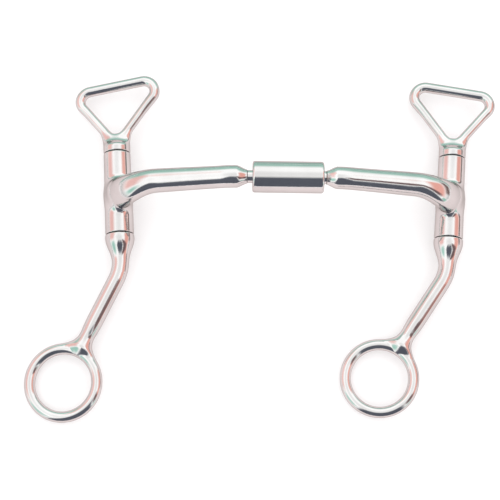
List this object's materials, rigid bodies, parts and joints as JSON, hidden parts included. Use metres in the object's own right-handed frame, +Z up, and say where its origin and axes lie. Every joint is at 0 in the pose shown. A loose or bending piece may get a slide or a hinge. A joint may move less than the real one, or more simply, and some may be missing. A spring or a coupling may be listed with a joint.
{
  "type": "swivel-cheek shank bit",
  "caption": "Polished steel horse bit: curved barrel-jointed mouthpiece, swivelling cheeks with a triangular headstall loop above and a bent shank with a rein ring below.",
  "frame": {"origin": "middle of the central barrel, on the axis that both mouthpiece arms turn about", "axes": "+X along the mouthpiece to the right arm, +Y from the rein rings towards the headstall loops, +Z up from the table that the bit lies on, the way the mouthpiece arches"},
  "size_m": [0.1936, 0.1463, 0.0368],
  "materials": {
    "polished_stainless": "mirror-polished stainless steel with fine wiping scratches",
    "machined_stainless": "turned stainless steel, fine lathe marks"
  },
  "bodies": {
    "barrel": {"barrel_shell": "polished_stainless", "left_barrel_bush": "machined_stainless", "right_barrel_bush": "machined_stainless"},
    "left_arm": {"left_mouth_arm": "polished_stainless", "left_swivel_pin": "machined_stainless"},
    "left_cheek": {"left_headstall_loop": "polished_stainless", "left_shank": "polished_stainless", "left_cheek_pin": "machined_stainless"},
    "right_arm": {"right_mouth_arm": "polished_stainless", "right_swivel_pin": "machined_stainless"},
    "right_cheek": {"right_headstall_loop": "polished_stainless", "right_shank": "polished_stainless", "right_cheek_pin": "machined_stainless"}
  },
  "joints": [
    {"name": "left_arm_swivel", "type": "hinge", "parent": "barrel", "child": "left_arm", "pos_m": [0, 0, 0], "axis": [1, 0, 0], "continuous": true},
    {"name": "left_cheek_swivel", "type": "hinge", "parent": "left_arm", "child": "left_cheek", "pos_m": [-0.06975, 0, -0.0244], "axis": [-0.0698, 0.9976, 0], "continuous": true},
    {"name": "right_arm_swivel", "type": "hinge", "parent": "barrel", "child": "right_arm", "pos_m": [0, 0, 0], "axis": [1, 0, 0], "continuous": true},
    {"name": "right_cheek_swivel", "type": "hinge", "parent": "right_arm", "child": "right_cheek", "pos_m": [0.06875, 0, -0.0244], "axis": [0.0698, 0.9976, 0], "continuous": true}
  ]
}
